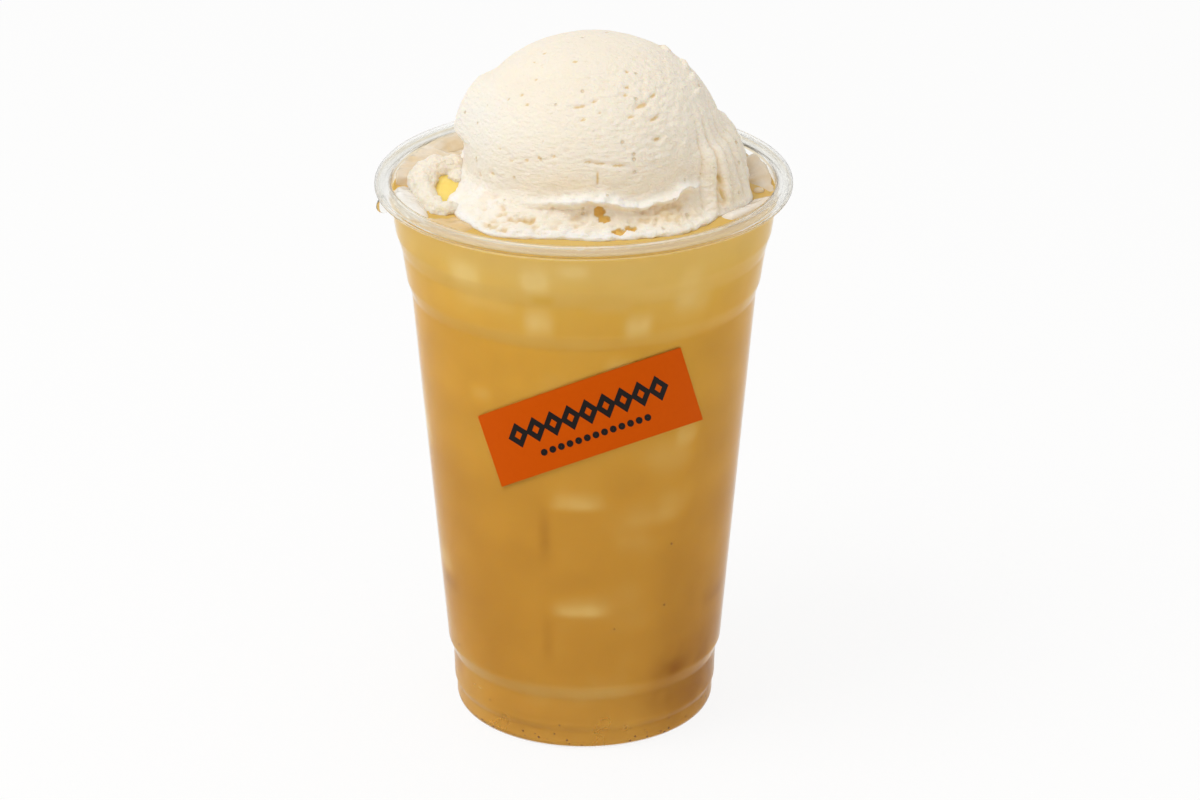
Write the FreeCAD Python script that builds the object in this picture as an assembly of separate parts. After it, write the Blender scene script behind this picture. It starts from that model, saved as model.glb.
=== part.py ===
import FreeCAD, Part
import math
import os

from FreeCAD import Placement, Rotation, Vector

# A tea float in its clear plastic cup: cold tea, floating ice, one scoop of ice cream and a label.
# Millimetres, +Z up. The origin is the centre of the cup's foot, on the surface that the cup
# stands on. The front, where the label is, faces -Y.

# --- Cup -------------------------------------------------------------------------------------
CUP_HEIGHT = 136.2
MOUTH_RADIUS = 45.0        # inside, just under the rolled rim
FOOT_RADIUS = 30.85        # inside of the lowest band
WALL = 0.5
PUSH_UP = 3.0              # how far the middle of the floor stands off the table
PUSH_UP_SLOPE = 1.85       # level run of the slope between that and the ring
FOOT_RING_WIDTH = 4.0      # ring that the cup stands on, its rounded edges included
BAND_TOP = 5.2             # heights above the table
STACK_STEP_BOTTOM = 14.2
STACK_STEP_TOP = 17.6
BAND_STEP = 0.55
STACK_STEP = 1.2
BAND_TAPER = 0.25
SHOULDER_DROP = 27.9       # depths below the rim's top
SHOULDER_TOP_DROP = 24.4
COLLAR_DROP = 16.7
COLLAR_TOP_DROP = 12.4
MOUTH_DROP = 4.2
SHOULDER_INSET = 4.7       # how far inside the mouth's radius each of them lies
SHOULDER_TOP_INSET = 3.6
COLLAR_INSET = 2.5
COLLAR_TOP_INSET = 1.2
RIM_WIDTH = 4.0            # rolled rim, beyond the mouth
RIM_DEPTH = 3.0
RIM_RETURN = 2.0

# --- Tea and ice -----------------------------------------------------------------------------
TEA_DROP = 4.3             # tea level below the rim's top
ICE_WALL_GAP = 0.4
ICE_HEIGHT = 15.0          # below the tea's surface
ICE_ROUND = 1.4

# --- Ice cream -------------------------------------------------------------------------------
SCOOP_OFFSET = (2.3, 4.6)
SCOOP_WALL_GAP = 9.4       # least gap from the dome's base to the cup's wall
SCOOP_RISE = 35.8          # top of the dome above the tea
SCOOP_DRAFT = 12.0         # bottom of the scoop below the tea
DOME_BASE = 8.3            # widest level of the dome above the tea
DOME_FULLNESS = 2.14       # 2 is an ellipse, more is squarer
SKIRT_HEIGHT = 6.6         # pressed-out skirt at the tea's surface
SKIRT_FRONT = 7.0          # how far the skirt stands out in front
SKIRT_BACK = 5.0           # and at the back
SKIRT_LIP = 1.1            # step at the skirt's upper edge
LUMP_WALL_GAP = 4.0        # torn lump on the left, off the cup's wall
LUMP_SIZE = (5.6, 7.0, 5.2)
LUMP_SHIFT = -1.5          # its middle in front of the axis (behind it if above 0)
LUMP_LIFT = 1.0            # and above the tea
FOLD_SIZE = 4.4            # folded edge on the right
FOLD_AZIMUTH = 10          # degrees round from the right towards the back
FOLD_SPREAD = 28
FOLD_TOP = 14              # above the tea
FLAP_SIZE = 2.6            # thin lip left by the dipper, high on the left
FLAP_AZIMUTH = 178
FLAP_SPREAD = 13
FLAP_BOTTOM = 11           # above the tea
FLAP_TOP = 26.5
SKIRT_LOBES = ((5, 0.5, 40), (11, 0.3, 0))      # unevenness of its edge: lobes round, size, turn
SKIRT_HEIGHT_LOBES = ((3, 0.7, 0), (7, 0.5, 0))
RING_POINTS = 72

# --- Label -----------------------------------------------------------------------------------
LABEL_LENGTH = 49.4
LABEL_WIDTH = 17.3
LABEL_THICKNESS = 0.15
LABEL_TILT = 18.5          # degrees, rising to the right
LABEL_VIEW = 24.4          # degrees, it looks square from this far above the front
LABEL_DROP = 17.2          # its middle below the shoulder
LABEL_OFFSET = 1.6         # its middle to the right of the front

# --- Worked out from these -------------------------------------------------------------------
TEA_LEVEL = CUP_HEIGHT - TEA_DROP
SCOOP_SHIFT = math.hypot(SCOOP_OFFSET[0], SCOOP_OFFSET[1])
BIG = 10 * CUP_HEIGHT      # longer than anything here


def wall_corners():
    """(radius, height, fillet) along the food side of the cup, from the floor's middle to the mouth."""
    ring = FOOT_RADIUS - FOOT_RING_WIDTH
    band = FOOT_RADIUS + BAND_STEP
    step = band + BAND_TAPER
    return [
        (0, PUSH_UP + WALL, 0),
        (ring - PUSH_UP_SLOPE, PUSH_UP + WALL, 1.5),
        (ring, WALL, 1.2),
        (FOOT_RADIUS, WALL, 1.7),
        (FOOT_RADIUS, BAND_TOP, 0.8),
        (band, BAND_TOP + 1.4, 0.8),
        (step, STACK_STEP_BOTTOM, 1.2),
        (step + STACK_STEP, STACK_STEP_TOP, 1.2),
        (MOUTH_RADIUS - SHOULDER_INSET, CUP_HEIGHT - SHOULDER_DROP, 1.2),
        (MOUTH_RADIUS - SHOULDER_TOP_INSET, CUP_HEIGHT - SHOULDER_TOP_DROP, 1.2),
        (MOUTH_RADIUS - COLLAR_INSET, CUP_HEIGHT - COLLAR_DROP, 2.0),
        (MOUTH_RADIUS - COLLAR_TOP_INSET, CUP_HEIGHT - COLLAR_TOP_DROP, 2.0),
        (MOUTH_RADIUS, CUP_HEIGHT - MOUTH_DROP, 1.5),
    ]


def rim_corners():
    """The rolled rim, from the mouth out, over and back under."""
    outer = MOUTH_RADIUS + RIM_WIDTH
    return [
        (MOUTH_RADIUS, CUP_HEIGHT, 1.4),
        (outer, CUP_HEIGHT, 1.6),
        (outer, CUP_HEIGHT - RIM_DEPTH, 1.2),
        (outer - RIM_RETURN, CUP_HEIGHT - RIM_DEPTH, 0),
    ]


def rounded_path(corners):
    """Edges of a path in the XZ plane, with an arc at each corner that has a fillet."""
    points = [Vector(r, 0, z) for r, z, _ in corners]
    edges = []
    start = points[0]
    for before, corner, after, (_, _, fillet) in zip(points, points[1:], points[2:], corners[1:]):
        towards = (before - corner).normalize()
        onwards = (after - corner).normalize()
        if fillet == 0:
            edges.append(Part.LineSegment(start, corner).toShape())
            start = corner
            continue
        half = towards.getAngle(onwards) / 2
        reach = fillet / math.tan(half)
        arc_start = corner + towards * reach
        arc_end = corner + onwards * reach
        middle = (towards + onwards).normalize()
        arc_middle = corner + middle * (fillet / math.sin(half) - fillet)
        edges.append(Part.LineSegment(start, arc_start).toShape())
        edges.append(Part.Arc(arc_start, arc_middle, arc_end).toShape())
        start = arc_end
    edges.append(Part.LineSegment(start, points[-1]).toShape())
    return edges


def turned(face):
    """Solid of a face in the XZ plane, turned about the cup's axis."""
    return face.revolve(Vector(), Vector(0, 0, 1), 360)


def below(level):
    """Everything below a level, as a block."""
    return Part.makeBox(2 * BIG, 2 * BIG, BIG, Vector(-BIG, -BIG, level - BIG))


def wall_radius(height):
    """Inside radius of the cup at a height, its fillets left out."""
    corners = wall_corners()[3:]
    for (r0, z0, _), (r1, z1, _) in zip(corners, corners[1:]):
        if z0 <= height <= z1:
            return r0 + (r1 - r0) * (height - z0) / (z1 - z0)
    return MOUTH_RADIUS


def make_cup():
    """One thin shell: pushed-up floor, two bands, stacking step, taper, shoulder, collar and rolled rim."""
    path = Part.Wire(rounded_path(wall_corners() + rim_corners()))
    return turned(path.makeOffset2D(-WALL, fill=True, openResult=True))


def inside(gap):
    """All the room inside the cup, up to the rim and a gap clear of the wall."""
    path = Part.Wire(rounded_path(wall_corners() + [(MOUTH_RADIUS, CUP_HEIGHT, 0)]))
    if gap > 0:
        path = path.makeOffset2D(gap, openResult=True)
    middle = Vector(0, 0, PUSH_UP + WALL + gap)
    mouth = Vector(MOUTH_RADIUS - gap, 0, CUP_HEIGHT)
    top = Vector(0, 0, CUP_HEIGHT)
    lid = [Part.LineSegment(mouth, top).toShape(), Part.LineSegment(top, middle).toShape()]
    return turned(Part.Face(Part.Wire(path.Edges + lid)))


def heading(azimuth):
    """Level unit vector at an azimuth in degrees."""
    return Vector(math.cos(math.radians(azimuth)), math.sin(math.radians(azimuth)), 0)


def ice_block(start, end, facing, bite, gap, shore, slope):
    """A melted block between two azimuths, its outer side at right angles to the heading facing.

    It reaches in past the scoop's gap to the wall by bite, and out to a gap from the wall. Its top
    slopes up towards the wall by slope degrees and leaves the tea at a distance shore from the wall.
    """
    reach = wall_radius(TEA_LEVEL)
    thick = SCOOP_WALL_GAP + bite

    def corner(azimuth, depth):
        away = (reach - depth) / math.cos(math.radians(azimuth - facing))
        return heading(azimuth) * away + Vector(0, 0, TEA_LEVEL - ICE_HEIGHT)

    outline = [corner(start, thick), corner(end, thick), corner(end, gap), corner(start, gap)]
    block = Part.Face(Part.makePolygon(outline + outline[:1])).extrude(Vector(0, 0, 2 * ICE_HEIGHT))
    melted = Part.makeBox(BIG, BIG, BIG, Vector(-BIG / 2, -BIG / 2, 0))
    waterline = heading(facing) * (reach - shore) + Vector(0, 0, TEA_LEVEL)
    melted.Placement = Placement(waterline, Rotation(facing, -slope, 0))
    block = block.cut(melted)
    return block.makeFillet(ICE_ROUND, block.Edges).common(inside(ICE_WALL_GAP))


def make_ice():
    """Blocks that break the surface, two on each side of the scoop and one under its front."""
    return {
        "ice_left": ice_block(180, 205.5, facing=198.5, bite=3.1, gap=-4, shore=3.8, slope=18),
        "ice_right": ice_block(-30, -7, facing=-41.4, bite=5.6, gap=6, shore=10.4, slope=24),
        "ice_back_left": ice_block(147, 176, facing=158, bite=5.6, gap=-4, shore=30, slope=6),
        "ice_back_right": ice_block(-4, 25, facing=37.2, bite=2.1, gap=-4, shore=10.1, slope=20),
        "ice_front_left": ice_block(208.5, 225, facing=217, bite=3.6, gap=3, shore=24, slope=1.5),
    }


def smooth(x):
    """0 below 0, 1 above 1, and an even rise between."""
    x = min(1, max(0, x))
    return x * x * (3 - 2 * x)


def bump(azimuth, middle, spread):
    """1 at the middle azimuth and falling to 0 either side, in degrees."""
    away = (azimuth - middle + 180) % 360 - 180
    return math.exp(-((away / spread) ** 2))


def lobes(azimuth, waves):
    """Sum of the waves (how many round, size, turn) at an azimuth in degrees."""
    return sum(size * math.sin(math.radians(count * azimuth + turn)) for count, size, turn in waves)


def scoop_radius(azimuth, rise):
    """Radius of the scoop about its own axis, at a height above (or below) the tea."""
    base = wall_radius(TEA_LEVEL) - SCOOP_SHIFT - SCOOP_WALL_GAP
    front = 0.5 - 0.5 * math.sin(math.radians(azimuth))
    skirt = SKIRT_BACK + (SKIRT_FRONT - SKIRT_BACK) * front + lobes(azimuth, SKIRT_LOBES)
    if rise < 0:
        return (base + skirt) * math.sqrt(max(0, 1 - (rise / SCOOP_DRAFT) ** 2))
    radius = base
    if rise > DOME_BASE:
        up = min(1, (rise - DOME_BASE) / (SCOOP_RISE - DOME_BASE))
        radius = base * (1 - up**DOME_FULLNESS) ** (1 / DOME_FULLNESS)
    ridge = SKIRT_HEIGHT + lobes(azimuth, SKIRT_HEIGHT_LOBES)
    radius += SKIRT_LIP * smooth((ridge + 0.9 - rise) / 1.6)
    radius += (skirt - SKIRT_LIP) * max(0, 1 - rise / ridge) ** 0.85
    fold = smooth(rise / 5) * smooth((FOLD_TOP - rise) / 8)
    radius += FOLD_SIZE * fold * bump(azimuth, FOLD_AZIMUTH, FOLD_SPREAD)
    flap = smooth((rise - FLAP_BOTTOM) / 3) * smooth((FLAP_TOP - rise) / 1.6)
    return radius + FLAP_SIZE * flap * bump(azimuth, FLAP_AZIMUTH, FLAP_SPREAD)


def ring(rise):
    """Closed wire round the scoop at one height."""
    points = []
    for k in range(RING_POINTS):
        azimuth = 360 * k / RING_POINTS
        radius = scoop_radius(azimuth, rise)
        x = SCOOP_OFFSET[0] + radius * math.cos(math.radians(azimuth))
        y = SCOOP_OFFSET[1] + radius * math.sin(math.radians(azimuth))
        points.append(Vector(x, y, TEA_LEVEL + rise))
    curve = Part.BSplineCurve()
    evenly = [k / RING_POINTS for k in range(RING_POINTS + 1)]
    curve.interpolate(Points=points, PeriodicFlag=True, Parameters=evenly)
    return Part.Wire(curve.toShape())


def make_scoop():
    """Dome, pressed-out skirt, folded edge and sunk underside in one skin, with the torn lump joined on."""
    under = [-SCOOP_DRAFT * math.cos(math.radians(a)) for a in range(6, 90, 12)]
    band = [DOME_BASE * k / 9 for k in range(10)]
    above = [DOME_BASE + (SCOOP_RISE - DOME_BASE) * math.sin(math.radians(a)) for a in range(5, 90, 5)]
    body = Part.makeLoft([ring(rise) for rise in under + band + above], True, True)
    stretch = FreeCAD.Matrix()
    stretch.scale(Vector(*LUMP_SIZE))
    lump = Part.makeSphere(1).transformGeometry(stretch)
    reach = wall_radius(TEA_LEVEL) - LUMP_WALL_GAP - LUMP_SIZE[0]
    lump.translate(Vector(-reach, LUMP_SHIFT, TEA_LEVEL + LUMP_LIFT))
    return body.fuse(lump)


def make_label():
    """Thin sheet that follows the wall, cut square as it looks from a little above the front."""
    outside = Part.Wire(rounded_path(wall_corners())).makeOffset2D(-WALL, openResult=True)
    skin = turned(outside.makeOffset2D(-LABEL_THICKNESS, fill=True, openResult=True))
    height = CUP_HEIGHT - SHOULDER_DROP - LABEL_DROP
    cutter = Part.makeBox(LABEL_LENGTH, 2 * MOUTH_RADIUS, LABEL_WIDTH)
    cutter.translate(Vector(-LABEL_LENGTH / 2, -MOUTH_RADIUS, -LABEL_WIDTH / 2))
    cutter.rotate(Vector(), Vector(0, 1, 0), -LABEL_TILT)
    cutter.rotate(Vector(), Vector(1, 0, 0), -LABEL_VIEW)
    wall = wall_radius(height) + WALL
    lift = Vector(LABEL_OFFSET, -wall, height)
    cutter.translate(lift)
    front = Part.makeBox(2 * BIG, BIG, 2 * BIG, Vector(-BIG, -BIG, -BIG))
    return skin.common(cutter.common(front))


def save(name, shape):
    """Write one node as one clean solid."""
    solids = shape.Solids
    if len(solids) != 1:
        raise RuntimeError(name + " is not one solid: " + str(len(solids)))
    solids[0].exportStep(os.path.join("parts", name + ".step"))


os.makedirs("parts", exist_ok=True)
ice = make_ice()
blocks = list(ice.values())
scoop = make_scoop().cut(Part.makeCompound(blocks))
tea = inside(0).common(below(TEA_LEVEL)).cut(scoop).cut(Part.makeCompound(blocks))
save("cup", make_cup())
save("tea", tea)
save("ice_cream_scoop", scoop)
save("label", make_label())
for name, block in ice.items():
    save(name, block)
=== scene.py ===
import bpy
import math
import numpy as np
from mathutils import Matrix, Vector
from mathutils.bvhtree import BVHTree


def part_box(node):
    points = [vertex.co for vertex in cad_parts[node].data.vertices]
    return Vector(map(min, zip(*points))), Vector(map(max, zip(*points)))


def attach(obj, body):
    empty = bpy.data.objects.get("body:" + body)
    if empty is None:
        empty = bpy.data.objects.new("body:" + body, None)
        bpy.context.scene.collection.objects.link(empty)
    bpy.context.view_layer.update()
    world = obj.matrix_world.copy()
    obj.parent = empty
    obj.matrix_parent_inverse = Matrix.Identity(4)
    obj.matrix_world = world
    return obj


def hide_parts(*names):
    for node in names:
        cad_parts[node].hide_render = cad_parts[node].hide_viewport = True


# A tea float, dressed in the order it is put together: cup, ice, tea, rolled lip, ice cream, drops, then the label.
# Blender works in metres. Lengths that are named with _mm are millimetres.

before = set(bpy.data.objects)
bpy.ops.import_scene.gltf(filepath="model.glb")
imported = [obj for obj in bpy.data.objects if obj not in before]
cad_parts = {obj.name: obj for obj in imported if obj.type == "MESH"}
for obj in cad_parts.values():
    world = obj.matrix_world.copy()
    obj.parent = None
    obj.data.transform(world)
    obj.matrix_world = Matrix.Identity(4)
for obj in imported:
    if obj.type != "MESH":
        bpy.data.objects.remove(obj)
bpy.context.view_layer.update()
MM = 0.001


# --- Cup ---------------------------------------------------------------------------------------
# One thin shell of clear PET, drawn from a heated sheet. The rolled rim is thicker and a little
# milky, and the wall carries faint level waves where the sheet was stretched over the mould.

def srgb(red, green, blue):
    """A colour written 0 to 255, as the shader wants it."""
    return tuple((c / 3294.6 if c <= 10 else ((c / 255 + 0.055) / 1.055) ** 2.4)
                 for c in (red, green, blue)) + (1.0,)


def new_finish(name, **plain):
    """A material whose shader has its plain values set. Gives the material, its tree and the shader."""
    finish = bpy.data.materials.new(name)
    finish.use_nodes = True
    shader = finish.node_tree.nodes["Principled BSDF"]
    for socket, value in plain.items():
        shader.inputs[socket.replace("_", " ")].default_value = value
    return finish, finish.node_tree, shader


def add(tree, kind, sockets=None, **settings):
    """One node with its settings made, its values set and its links drawn."""
    node = tree.nodes.new(kind)
    for name, value in settings.items():
        setattr(node, name, value)
    for name, value in (sockets or {}).items():
        if isinstance(value, bpy.types.NodeSocket):
            tree.links.new(value, node.inputs[name])
        else:
            node.inputs[name].default_value = value
    return node

def feed(tree, node, **patterns):
    """Link patterns to the sockets of a node."""
    for socket, pattern in patterns.items():
        tree.links.new(pattern, node.inputs[socket.replace("_", " ")])


def spot(tree):
    """The place on the piece, in its own metres."""
    return add(tree, "ShaderNodeTexCoord").outputs["Object"]


def noise(tree, at, scale, detail=2.0, distortion=0.0):
    """A random pattern from 0 to 1."""
    return add(tree, "ShaderNodeTexNoise", {"Vector": at, "Scale": scale, "Detail": detail,
                                            "Distortion": distortion}).outputs["Fac"]


def ranged(tree, value, start, end, least=0.0, most=1.0):
    """A value that goes from start to end, made to go from least to most."""
    return add(tree, "ShaderNodeMapRange", {"Value": value, "From Min": start, "From Max": end,
                                            "To Min": least, "To Max": most}).outputs["Result"]


def reckon(tree, operation, *values):
    """One sum on one or two values."""
    return add(tree, "ShaderNodeMath", dict(enumerate(values)), operation=operation).outputs[0]


def blend(tree, share, colour, other):
    """A colour that turns into the other one by a share."""
    return add(tree, "ShaderNodeMix", {0: share, 6: colour, 7: other}, data_type="RGBA").outputs[2]

def pass_lamps(tree, shader, tint):
    """Let lamp light straight through a clear finish, so that what it holds is lit."""
    straight = add(tree, "ShaderNodeBsdfTransparent", {"Color": tint})
    path = add(tree, "ShaderNodeLightPath")
    both = add(tree, "ShaderNodeMixShader",
               {0: path.outputs["Is Shadow Ray"], 1: shader.outputs[0], 2: straight.outputs[0]})
    tree.links.new(both.outputs[0], tree.nodes["Material Output"].inputs["Surface"])


def paint(obj, finish):
    """Give a piece its one finish."""
    obj.data.materials.clear()
    obj.data.materials.append(finish)


WAVE_EVERY_mm = 2.6
RIM_LINE_mm = (2.05, 0.75)   # a tea-coloured line round the outside of the roll: middle below the top, width
ROLL_SKIN_mm = (4.6, 3.2)    # below the top: where the roll's rougher skin begins, and where it is full
SCUFFS_mm = (18, 11)         # above the foot: where the scuffs begin, and where they are full
ROLL_ROUGHNESS = 0.15
SCUFF_ROUGHNESS = 0.2

clear_plastic, tree, shader = new_finish("clear_plastic", Transmission_Weight=1.0, IOR=1.13)
here = spot(tree)
WAVE_NODE_REPEAT = 0.314     # metres between two of the wave node's bands at a scale of 1
wave = add(tree, "ShaderNodeTexWave", {"Vector": here, "Scale": WAVE_NODE_REPEAT / (WAVE_EVERY_mm * MM),
                                       "Distortion": 3.0, "Detail": 1.0}, bands_direction="Z")
rim_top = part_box("cup")[1].z
height = add(tree, "ShaderNodeSeparateXYZ", {0: here}).outputs["Z"]
below = reckon(tree, "SUBTRACT", rim_top, height)
haze = ranged(tree, noise(tree, here, 120.0, 3.0), 0.35, 0.75, 0.02, 0.09)
rolled = ranged(tree, below, ROLL_SKIN_mm[0] * MM, ROLL_SKIN_mm[1] * MM, 0.0, ROLL_ROUGHNESS)
scuffed = ranged(tree, height, SCUFFS_mm[0] * MM, SCUFFS_mm[1] * MM, 0.0, SCUFF_ROUGHNESS)
rough = reckon(tree, "ADD", reckon(tree, "ADD", haze, scuffed), rolled)
off_line = reckon(tree, "ABSOLUTE", reckon(tree, "SUBTRACT", below, RIM_LINE_mm[0] * MM))
line = ranged(tree, off_line, 0.3 * RIM_LINE_mm[1] * MM, 0.6 * RIM_LINE_mm[1] * MM, 1.0, 0.0)
tint = blend(tree, line, (1, 1, 0.985, 1), (0.83, 0.74, 0.56, 1))
bend = ranged(tree, rolled, 0.0, ROLL_ROUGHNESS, 0.03, 0.0)
relief = add(tree, "ShaderNodeBump", {"Height": wave.outputs["Fac"], "Strength": bend, "Distance": 0.0002})
feed(tree, shader, Base_Color=tint, Roughness=rough, Normal=relief.outputs["Normal"])
pass_lamps(tree, shader, (0.96, 0.96, 0.95, 1))
paint(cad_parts["cup"], clear_plastic)


# --- Ice ---------------------------------------------------------------------------------------
# Cubes from an ice machine, their edges melted round. Five break the surface. The others are
# sunk against the wall, hidden in the cloudy tea, which is painted paler where their nearest faces come close.

def new_group(name, inputs, outputs):
    """An empty shader node group with named sockets."""
    group = bpy.data.node_groups.new(name, "ShaderNodeTree")
    for direction, sockets in (("INPUT", inputs), ("OUTPUT", outputs)):
        for socket, kind in sockets.items():
            group.interface.new_socket(socket, in_out=direction, socket_type="NodeSocket" + kind)
    return group, group.nodes.new("NodeGroupInput"), group.nodes.new("NodeGroupOutput")


# Slow ripples over a melting or wet surface, with finer ones on top.
wet_ripple, given, result = new_group("wet_ripple", {"Size": "Float", "Depth": "Float"}, {"Normal": "Vector"})
per_metre = reckon(wet_ripple, "DIVIDE", 1.0, given.outputs["Size"])
swell = noise(wet_ripple, spot(wet_ripple), per_metre, 3.0)
relief = add(wet_ripple, "ShaderNodeBump", {"Height": swell, "Distance": given.outputs["Depth"]})
feed(wet_ripple, result, Normal=relief.outputs["Normal"])


def stepped(tree, value, steps):
    """A colour picked by a value along steps of (place, colour)."""
    ramp = add(tree, "ShaderNodeValToRGB", {"Fac": value})
    for k, (place, colour) in enumerate(steps):
        step = ramp.color_ramp.elements[k] if k < 2 else ramp.color_ramp.elements.new(place)
        step.position, step.color = place, colour
    return ramp.outputs["Color"]


melting_ice, tree, shader = new_finish("melting_ice", Transmission_Weight=0.2, IOR=1.25)
core = noise(tree, spot(tree), 170.0, 4.0, 0.6)
milk = stepped(tree, core, [(0.38, srgb(246, 244, 238)), (0.66, srgb(254, 254, 252))])
tea_in_it = add(tree, "ShaderNodeAttribute", attribute_name="tea_in_it").outputs["Fac"]
ripple = add(tree, "ShaderNodeGroup", {"Size": 0.004, "Depth": 0.0006}, node_tree=wet_ripple)
feed(tree, shader, Base_Color=blend(tree, tea_in_it, milk, srgb(236, 208, 154)),
     Roughness=ranged(tree, core, 0.4, 0.7, 0.04, 0.22), Normal=ripple.outputs["Normal"])
pass_lamps(tree, shader, (0.93, 0.93, 0.92, 1))


def grain(points, size, seed):
    """Smooth random values from about -1 to 1 that change over a distance of size."""
    place = points / size
    cell = np.floor(place).astype(np.int64)
    inside = place - cell
    ease = inside ** 3 * (inside * (inside * 6 - 15) + 10)
    total = 0
    for corner in np.ndindex(2, 2, 2):
        at = cell + corner
        mixed = (at[:, 0] * 73856093) ^ (at[:, 1] * 19349663) ^ (at[:, 2] * 83492791) ^ (seed * 668265263)
        mixed = ((mixed ^ (mixed >> 13)) * 1274126177) & 0xFFFFFFFF
        slope = np.stack([(mixed >> shift & 255) / 127.5 - 1 for shift in (0, 8, 16)], axis=1)
        weight = np.prod(np.where(corner, ease, 1 - ease), axis=1)
        total = total + weight * np.sum(slope * (inside - corner), axis=1)
    return 1.5 * total


def read_mesh(mesh):
    """Places in millimetres and normals of a mesh's vertices."""
    values = np.empty((2, len(mesh.vertices) * 3), np.float32)
    mesh.vertices.foreach_get("co", values[0])
    mesh.vertices.foreach_get("normal", values[1])
    places, normals = values.reshape(2, -1, 3).astype(float)
    return places / MM, normals


def run_modifiers(obj):
    """Keep the mesh that comes out of an object's modifiers, and drop them."""
    mesh = bpy.data.meshes.new_from_object(obj.evaluated_get(bpy.context.evaluated_depsgraph_get()))
    obj.modifiers.clear()
    obj.data = mesh
    mesh.name = obj.name
    return mesh

def stand(name, data):
    """Put a mesh, a lamp or a camera in the scene under a name."""
    obj = bpy.data.objects.new(name, data)
    bpy.context.scene.collection.objects.link(obj)
    return obj


def move_skin(mesh, places_mm):
    """Move a mesh's vertices to places in millimetres."""
    mesh.vertices.foreach_set("co", (places_mm * MM).astype(np.float32).ravel())


def mark(mesh, name, values):
    """Keep one value for each vertex, for a material or a maker to read."""
    mesh.attributes.new(name, "FLOAT", "POINT").data.foreach_set("value", np.asarray(values, np.float32))


# How much tea has soaked into each floating piece.
FLOATING = {"ice_left": 0.0, "ice_right": 0.15, "ice_front_left": 1.0, "ice_back_left": 0.5, "ice_back_right": 0.55}
MELT_STEP_mm = 0.45
DRAWN_UP_mm = (7, 5)     # melting lowers the top, so its upper part is drawn up again: how deep, and over how much
for k, (name, stain) in enumerate(FLOATING.items()):
    piece = stand(name + "_melted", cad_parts[name].data.copy())
    piece.modifiers.new("join", "WELD").merge_threshold = 0.001 * MM
    even = piece.modifiers.new("even", "REMESH")
    even.mode, even.voxel_size, even.use_smooth_shade = "VOXEL", MELT_STEP_mm * MM, True
    melt = piece.modifiers.new("melt", "SMOOTH")
    melt.factor, melt.iterations = 0.5, 14
    mesh = run_modifiers(piece)
    skin, facing = read_mesh(mesh)
    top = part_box(name)[1].z / MM
    drawn = np.clip((skin[:, 2] - top + DRAWN_UP_mm[0]) / DRAWN_UP_mm[1], 0, 1)
    skin[:, 2] += (top - skin[:, 2].max()) * drawn
    hollow = 0.4 * grain(skin, 5.0, 81 + k) + 0.14 * grain(skin, 1.8, 91 + k)
    move_skin(mesh, skin + facing * (hollow - 0.1)[:, None])
    mark(mesh, "tea_in_it", np.clip(stain + 0.35 * grain(skin, 4.0, 71 + k) * (stain > 0), 0, 1))
    paint(piece, melting_ice)
    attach(piece, "root")
    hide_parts(name)

# Sunk cubes: degrees round from the front to the right, height of the middle, size, turn and lean.
SUNK_CUBES = [
    (-2.5, 60.0, 15.5, 4, 3), (-1.5, 31.0, 15.0, -3, 2), (24, 60.0, 15.0, 16, -14), (-36, 88.0, 14.0, 25, 10),
    (39, 76.0, 14.5, -12, 20), (12, 97.0, 14.0, 22, 14), (-14, 108.0, 14.5, -18, 8), (17.5, 107.0, 14.0, 10, -9),
    (-38, 118.0, 13.2, 8, -3), (41, 110.0, 14.0, -22, 12), (-28, 40.0, 15.0, 30, 8), (34, 26.0, 14.5, 12, -18),
    (75, 92.0, 15.0, 8, 12), (68, 45.0, 15.0, -16, -6), (104, 70.0, 15.0, 20, 9), (112, 112.0, 14.5, -8, 15),
    (140, 36.0, 15.0, 14, -12), (150, 88.0, 15.0, -20, 6), (182, 60.0, 15.0, 6, -9), (190, 108.0, 14.5, 25, 11),
    (214, 82.0, 15.0, -12, 8), (222, 30.0, 15.0, 18, -15), (252, 112.0, 14.0, 9, 10), (258, 66.0, 15.0, -24, 7),
    (288, 96.0, 14.5, 14, -8), (292, 38.0, 15.0, -10, 13),
]
SUNK_GAP_mm = 0.9       # tea between a cube and the wall
# A turned or leaning cube's corner stands out further, by this share of its size for each degree.
CORNER_PER_TURN, CORNER_PER_LEAN = 0.0045, 0.004

tea_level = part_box("tea")[1].z
cut_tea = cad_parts["tea"].data
wall_seen = BVHTree.FromPolygons([v.co for v in cut_tea.vertices], [p.vertices for p in cut_tea.polygons])


def wall_at(height):
    """Inner radius of the cup at a height, in metres."""
    hit = wall_seen.ray_cast(Vector((0, -1, height)), Vector((0, 1, 0)))[0]
    return -hit.y


spots = bpy.data.meshes.new("sunk_spots")
places, turns, sizes = [], [], []
for around, height, size, turn, lean in SUNK_CUBES:
    heading = math.radians(around - 90)
    reach = size * (0.5 + CORNER_PER_TURN * abs(turn) + CORNER_PER_LEAN * abs(lean))
    away = wall_at(height * MM) - (SUNK_GAP_mm + reach) * MM
    places.append((away * math.cos(heading), away * math.sin(heading), height * MM))
    turns.append((math.radians(lean), 0, heading + math.radians(90 + turn)))
    sizes.append(size * MM)
spots.from_pydata(places, [], [])
spots.attributes.new("turn", "FLOAT_VECTOR", "POINT").data.foreach_set("vector", np.ravel(turns))
mark(spots, "size", sizes)
sunk_ice = stand("sunk_ice", spots)


def new_maker(name, inputs):
    """An empty Geometry Nodes tree with named inputs, each with its kind."""
    maker = bpy.data.node_groups.new(name, "GeometryNodeTree")
    maker.interface.new_socket("Geometry", in_out="INPUT", socket_type="NodeSocketGeometry")
    for socket, kind in inputs.items():
        maker.interface.new_socket(socket, in_out="INPUT", socket_type="NodeSocket" + kind)
    maker.interface.new_socket("Geometry", in_out="OUTPUT", socket_type="NodeSocketGeometry")
    return maker, maker.nodes.new("NodeGroupInput"), maker.nodes.new("NodeGroupOutput")


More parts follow.
